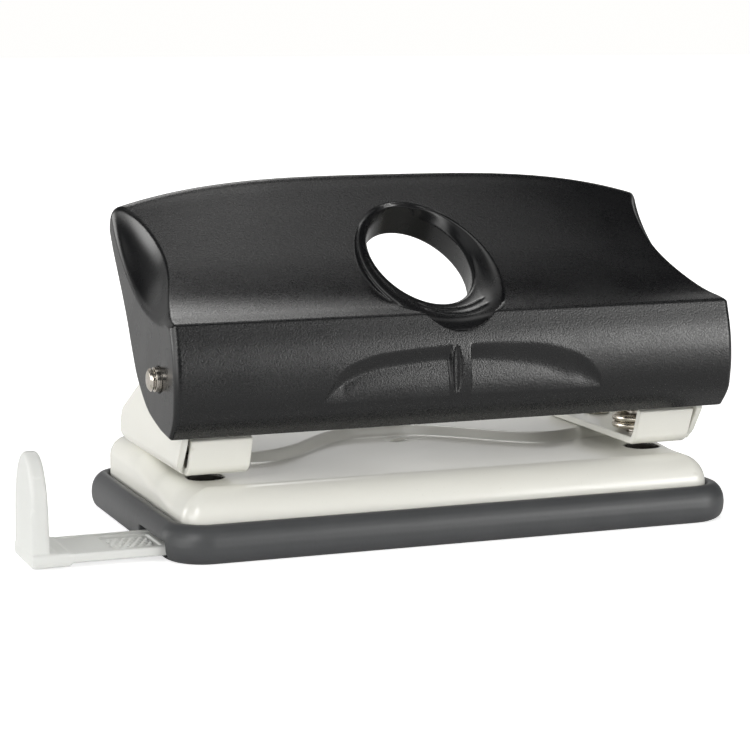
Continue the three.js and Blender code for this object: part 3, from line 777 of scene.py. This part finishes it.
def guide(x, y, z):
    middle, half = (ARM_FRONT + ARM_BACK) / 2, (ARM_BACK - ARM_FRONT) / 2
    shoulder = STOP_TOP - STOP_ROUND
    bulge = np.maximum(z - shoulder, 0)
    width = half - 0.25 - 0.03 * np.clip(z, 0, shoulder)
    outline = np.where(z > shoulder, oval(y - middle, bulge, width, STOP_ROUND), np.abs(y - middle) - width)
    thick = 1.5 - 0.25 * np.clip((z - 2) / 16, 0, 1)
    stop = both(both(outline, np.abs(x - STOP_OUTER - 1.5) - thick, 0.8), 0.6 - z, 0.3)
    foot = block(x, y, z, ((STOP_OUTER, STOP_OUTER + 6.2), (ARM_FRONT, ARM_BACK), (0.6, ARM_TOP)), 0.35)
    arm = block(x, y, z, ((STOP_OUTER + 0.5, 38.5), (ARM_FRONT, ARM_BACK), (ARM_LOW, ARM_TOP)), 0.3)
    panel = block(x, y, z, ((-67.2, 37), (ARM_FRONT + 1.1, ARM_BACK - 1.0), (ARM_TOP - 0.25, 9)), 0.15)
    d = either(either(stop, foot, 0.3), less(arm, panel, 0.15), 0.5)
    # Gripping patch: a shallow framed well filled with small domes in rows.
    spans = ((PATCH_X - 4, PATCH_X + 4), (ARM_FRONT + 2.6, ARM_BACK - 2.6), (ARM_TOP - 0.55, 9))
    d = less(d, block(x, y, z, spans, 0.15), 0.12)
    row = np.round((y - middle) / PITCH)
    column = (x - PATCH_X + 0.5 * PITCH * (row % 2)) / PITCH
    off_x, off_y = (column - np.round(column)) * PITCH, y - middle - row * PITCH
    dome = np.sqrt(off_x ** 2 + off_y ** 2 + (z - ARM_TOP + 0.85) ** 2) - 0.62
    patch = both(dome, both(slab(x, PATCH_X - 3.4, PATCH_X + 3.4), slab(y, ARM_FRONT + 3.2, ARM_BACK - 3.2)))
    return either(d, patch, 0.1)


# The grid is finest across the gripping patch.
guide_x = run((-71.9, 0.28, -66), (-66, 0.4, -59.5), (-59.5, 0.22, -50), (-50, 0.6, 39.2))
skinned("guide_arm", guide, (guide_x, run((-23.5, 0.26, -8.8)), run((0.1, 0.24, 18.8))),
        0.5, "guide", "pale_plastic", PALE, "paper_guide")

# ------------------------------------------------------------------ brackets


def sheet_line(points, radius, thickness):
    """Outline of a bent sheet from the corners of its middle line."""
    line = rounded(points, [0] + [radius] * (len(points) - 2) + [0], 8)
    along = np.gradient(line, axis=0)
    along /= np.linalg.norm(along, axis=1)[:, None]
    normal = np.stack([-along[:, 1], along[:, 0]], 1) * thickness / 2
    return np.vstack([line + normal, (line - normal)[::-1]])


EASE = 0.22
MID = FLOOR + SHEET / 2
THIN = SHEET - 2 * EASE
flange_tip = (FRONT + 0.65 - 0.43 * (FLANGE_TOP - MID - 0.75), FLANGE_TOP - EASE)
FLANGE = Profile(sheet_line([(BACK + 3, MID), (FRONT + 0.75, MID), flange_tip], 1.9, THIN),
                 (-26, 9), (20, 24), 0.1)
CORNER = Profile(sheet_line([(INNER - 5, MID), (EAR - SHEET / 2, MID), (EAR - SHEET / 2, 45)], 1.6, THIN),
                 (30, 9), (50, 40), 0.1)
# The ear from the side: up its front edge, round the rod and down to the back.
round_rod = [(PIVOT_Y + 4.6 * math.cos(math.radians(a)), PIVOT_Z + 4.6 * math.sin(math.radians(a)))
             for a in range(182, 60, -11)]
ear_line = [(FRONT + 1.3, 8), (FRONT + 1.3, FLOOR + 1.0), (FRONT - 2.1, FLANGE_TOP - 0.4),
            (PIVOT_Y - 4.2, 25.2), *round_rod, (BACK - 18, 28.0), (BACK - 8.6, 23.6), (BACK + 0.1, 19.1),
            (BACK + 1.5, 17.0), (BACK + 1.6, 14.5), (BACK, FLOOR + 0.6), (BACK, 8)]
ear_radii = [0, 0, 1.2, 2.0] + [0] * len(round_rod) + [3.0, 3.0, 1.6, 1.6, 1.2, 1.0, 0]
EAR_SHAPE = Profile(rounded(ear_line, ear_radii), (-28, 9), (20, 38), 0.1)


def bracket(x, y, z):
    """The right-hand bracket. Profiles are drawn EASE thinner and grown by it, which rounds their edges."""
    floor_cheek = both(CORNER(x, z) - EASE, EAR_SHAPE(y, z), EASE)
    floor_cheek = both(floor_cheek, INNER - x, EASE)
    flange = both(FLANGE(y, z) - EASE, slab(x, INNER, FLANGE_OUTER), EASE)
    flange = both(flange, y - FRONT - 4)
    slit = block(x, y, z, ((FLANGE_OUTER, FLANGE_OUTER + 0.55), (FRONT - 8, FRONT + 1.9), (8, 25)), 0.1)
    d = either(less(floor_cheek, slit), flange, 0.1)
    d = less(d, np.hypot(x - PUNCH_X, y - PUNCH_Y) - 2.92, 0.15)
    d = less(d, both(np.hypot(y - PIVOT_Y, z - PIVOT_Z) - 2.15, 40 - x), 0.15)
    for rx, ry in RIVETS:
        d = less(d, np.hypot(x - rx, y - ry) - RIVET_HOLE, 0.1)
    return d


for label, side in SIDES:
    def mirrored(x, y, z, side=side):
        return bracket(side * x, y, z)
    # The grid is finest across the slit between flange and ear.
    xs = np.sort(run((34.2, 0.28, 44.5), (44.5, 0.14, 45.9), (45.9, 0.24, 47.2)) * side)
    skinned(label + "_bracket_sheet", mirrored, (xs, run((-24.6, 0.26, 16.6)), run((12.3, 0.26, 33.9))),
            0.45, "base", "cream_paint", CREAM, label + "_bracket")

# ------------------------------------------------------------------ turned pieces, clips and springs


def open_ring(name, inner, outer, low, high, mouth, centre, along, body, node):
    """Snap ring with eased edges and a rounded mouth, so many degrees wide."""
    half = math.radians(mouth / 2)

    def field(x, y, z):
        u, v, w = (y - centre[1], z - centre[2], x) if along == "x" else (y - centre[1], -(x - centre[0]), z)
        r = np.hypot(u, v)
        ring = both(both(r - outer, inner - r, 0.12), slab(w, low, high), 0.12)
        return less(ring, both(np.abs(v) - np.maximum(u, 0) * math.tan(half), -u), 0.2)

    spans = [(c - outer - 0.5, 0.16, c + outer + 0.5) for c in centre]
    spans[0 if along == "x" else 2] = (low - 0.4, 0.13, high + 0.4)
    skinned(name, field, tuple(run(s) for s in spans), 0.5, body, "chrome", SPRING_STEEL, node)


def helix(name, centre, body, node):
    """Compression spring: closed end coils, open pitch between them, wire ends eased."""
    radius, wire, low, high = 4.75, 0.6, 14.15, 24.1
    steps, round_wire = 260, 14
    below, open_turns, above = 1.9, 1.9, 1.1
    turn = np.linspace(0, below + open_turns + above, steps)
    tight = 2 * wire + 0.05
    rise = high - low - 2 * wire - tight * (below + above)
    z = low + wire + tight * (np.minimum(turn, below) + np.maximum(turn - below - open_turns, 0))
    z = z + rise * np.clip((turn - below) / open_turns, 0, 1)
    a = 2 * math.pi * turn + math.radians(40)
    line = np.stack([centre[0] + radius * np.cos(a), centre[1] + radius * np.sin(a), z], 1)
    along = np.gradient(line, axis=0)
    along /= np.linalg.norm(along, axis=1)[:, None]
    out = np.stack([np.cos(a), np.sin(a), np.zeros(steps)], 1)
    up = np.cross(along, out)
    size = wire * np.minimum(1, 0.55 + np.minimum(np.arange(steps), np.arange(steps)[::-1]) / 4)
    b = np.linspace(0, 2 * math.pi, round_wire, endpoint=False)
    ring = out[:, None] * np.cos(b)[None, :, None] + up[:, None] * np.sin(b)[None, :, None]
    points = (line[:, None] + ring * size[:, None, None]).reshape(-1, 3)
    points = np.vstack([points, line[:1], line[-1:]])
    i, j = (g.ravel() for g in np.meshgrid(np.arange(steps - 1), np.arange(round_wire), indexing="ij"))
    here, k = i * round_wire, (j + 1) % round_wire
    ahead = here + round_wire
    quads = np.stack([here + j, ahead + j, ahead + k, here + k], 1)
    last, count = (steps - 1) * round_wire, steps * round_wire
    caps = [(q, (q + 1) % round_wire, count) for q in range(round_wire)]
    caps += [(last + (q + 1) % round_wire, last + q, count + 1) for q in range(round_wire)]
    mesh = bpy.data.meshes.new(name)
    mesh.from_pydata((points * MM).tolist(), [], quads.tolist() + caps)
    mesh.update()
    finish_smooth(mesh, 70)
    piece = place(name, mesh, body, "chrome", SPRING_STEEL, node)
    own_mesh(piece)


# Each end of the rod has a chamfered tip with a fine groove behind it, and further in a groove for the ring.
half_rod = [(2.0, 43.75), (1.5, 43.75), (1.5, 44.85), (2.0, 44.85), (2.0, 50.15), (1.62, 50.3), (1.62, 50.5),
            (2.0, 50.65), (1.45, 51.1), (0, 51.1)]
ROD = eased([(r, -h) for r, h in half_rod[::-1]] + half_rod, 0.1)
PIN = eased([(0, 14.2), (1.65, 13.7), (2.72, 13.0), (2.75, 13.4), (2.75, 25.2), (2.25, 25.2), (2.25, 26.2),
             (2.75, 26.2), (2.75, 28.4), (2.25, 28.9), (0, 28.9)], 0.08)
WASHER = eased([(2.85, 24.2), (5.2, 24.2), (5.2, 25.0), (2.85, 25.0)], 0.2)
SEAT, UNDER = FLOOR + SHEET + 0.1, DECK - SHEET - 0.3
# The rolled end under the deck, the shank, then the hollow head on the bracket's floor.
RIVET = eased([(0, UNDER - 0.9), (2.1, UNDER - 0.7), (2.3, UNDER), (1.5, UNDER), (1.5, SEAT), (2.3, SEAT),
               (2.2, SEAT + 0.35), (1.6, SEAT + 0.7), (1.05, SEAT + 0.7), (0.95, SEAT + 0.5),
               (0.95, SEAT - 1.2), (0, SEAT - 1.2)])

axle_at = (0, PIVOT_Y, PIVOT_Z)
turned("pivot_rod_bar", ROD, axle_at, "handle", "chrome", ROD_STEEL, "pivot_rod", along="x")
for label, side in SIDES:
    pin_at = (side * PUNCH_X, PUNCH_Y, 0)
    plunger = label + "_plunger"
    turned(label + "_pin", PIN, pin_at, plunger, "chrome", PIN_STEEL, label + "_punch")
    turned(label + "_collar_washer", WASHER, pin_at, plunger, "chrome", RIVET_STEEL, label + "_washer")
    open_ring(label + "_pin_clip", 2.35, 4.3, 25.3, 26.1, 90, pin_at, "z", plunger, label + "_punch_clip")
    low, high = sorted((side * 43.9, side * 44.7))
    open_ring(label + "_rod_ring", 1.6, 3.6, low, high, 100, axle_at, "x", "handle", label + "_rod_clip")
    helix(label + "_coil", pin_at, "base", label + "_spring")
    for end, (rx, ry) in zip(("front", "rear"), RIVETS):
        node = "%s_rivet_%s" % (label, end)
        turned(node + "_head", RIVET, (side * rx, ry, 0), "base", "chrome", RIVET_STEEL, node, sides=40)

# ------------------------------------------------------------------ stage, light and camera

FLOOR_HALF, FLOOR_GLOW, AMBIENT = 6, 0.7, 0.02
# A studio of soft panels: (azimuth, elevation, half-width in degrees, brightness).
# Azimuth 0 is -Y and 90 is +X. A panel fades from full at CORE of its half-width to nothing at its edge.
CORE = 0.45
PANELS = ((10, 32, 18, 0.42), (35, 10, 13, 9.5), (40, 20, 15, 1.5), (45, 32, 18, 0.83), (50, 10, 13, 4.7),
          (100, 76, 18, 1.1), (150, 5, 22, 0.69), (160, 82, 16, 1.5), (168, 41, 14, 3.4), (180, 5, 22, 0.39),
          (200, 28, 14, 0.6), (210, 5, 22, 0.3), (225, 32, 18, 0.16), (240, 5, 22, 5.6), (270, 5, 22, 2.5),
          (270, 60, 20, 0.57), (300, 5, 22, 3.75), (315, 32, 18, 5.4))

floor_mesh = bpy.data.meshes.new("floor")
floor_mesh.from_pydata([(x * FLOOR_HALF, y * FLOOR_HALF, 0) for x, y in ((-1, -1), (1, -1), (1, 1), (-1, 1))],
                       [], [(0, 1, 2, 3)])
floor = bpy.data.objects.new("floor", floor_mesh)
bpy.context.scene.collection.objects.link(floor)
paper, paper_nodes, paper_links, paper_bsdf = shader("floor_paper")
paper_bsdf.inputs["Base Color"].default_value = (0.93, 0.93, 0.93, 1)
paper_bsdf.inputs["Roughness"].default_value = 0.9
paper_bsdf.inputs["Specular IOR Level"].default_value = 0.1
paper_bsdf.inputs["Emission Color"].default_value = (1, 1, 1, 1)
# Overexposed paper: seen directly it burns out, and it lights the object no more than plain paper does.
seen = add(paper_nodes, "ShaderNodeLightPath").outputs["Is Camera Ray"]
glow = ramp(paper_nodes, paper_links, seen, 0, 1, 0.0, FLOOR_GLOW)
paper_links.new(glow, paper_bsdf.inputs["Emission Strength"])
floor_mesh.materials.append(paper)

world = bpy.data.worlds.new("studio")
bpy.context.scene.world = world
world.use_nodes = True
wn, wl = world.node_tree.nodes, world.node_tree.links
direction = add(wn, "ShaderNodeVectorMath", operation="NORMALIZE")
wl.new(add(wn, "ShaderNodeTexCoord").outputs["Generated"], direction.inputs[0])
total = AMBIENT
for azimuth, elevation, width, strength in PANELS:
    a, e = math.radians(azimuth), math.radians(elevation)
    dot = add(wn, "ShaderNodeVectorMath", operation="DOT_PRODUCT")
    wl.new(direction.outputs[0], dot.inputs[0])
    dot.inputs[1].default_value = (math.sin(a) * math.cos(e), -math.cos(a) * math.cos(e), math.sin(e))
    panel = add(wn, "ShaderNodeMapRange", interpolation_type="SMOOTHSTEP")
    wl.new(dot.outputs["Value"], panel.inputs["Value"])
    panel.inputs["From Min"].default_value = math.cos(math.radians(width))
    panel.inputs["From Max"].default_value = math.cos(math.radians(width * CORE))
    panel.inputs["To Max"].default_value = strength
    total = math_node(wn, wl, "ADD", panel.outputs["Result"], total)
# Seen directly, the backdrop is at least white.
seen = add(wn, "ShaderNodeLightPath").outputs["Is Camera Ray"]
total = math_node(wn, wl, "MAXIMUM", total, seen)
wl.new(total, wn["Background"].inputs["Strength"])
wn["Background"].inputs["Color"].default_value = (1.0, 0.995, 0.98, 1)

# The camera fitted to the photograph: where it looks from, at what, how far off and with what lens.
AZIMUTH, ELEVATION = math.radians(-21.076), math.radians(8.529)
TARGET, DISTANCE, LENS, SENSOR = (-6.878, -3.6, 25.041), 396.153, 111.067, 36
level = math.cos(ELEVATION)
back = Vector((math.sin(AZIMUTH) * level, -math.cos(AZIMUTH) * level, math.sin(ELEVATION)))
right = Vector((math.cos(AZIMUTH), math.sin(AZIMUTH), 0))
up = back.cross(right)
camera_data = bpy.data.cameras.new("camera")
camera_data.lens, camera_data.sensor_width = LENS, SENSOR
camera_data.clip_start, camera_data.clip_end = 0.01, 20
camera = bpy.data.objects.new("camera", camera_data)
bpy.context.scene.collection.objects.link(camera)
stand = Matrix((right, up, back)).transposed().to_4x4()
stand.translation = Vector(TARGET) * MM + back * DISTANCE * MM
camera.matrix_world = stand
bpy.context.scene.camera = camera

bpy.context.scene.view_settings.view_transform = "Standard"
bpy.context.scene.view_settings.look = "None"
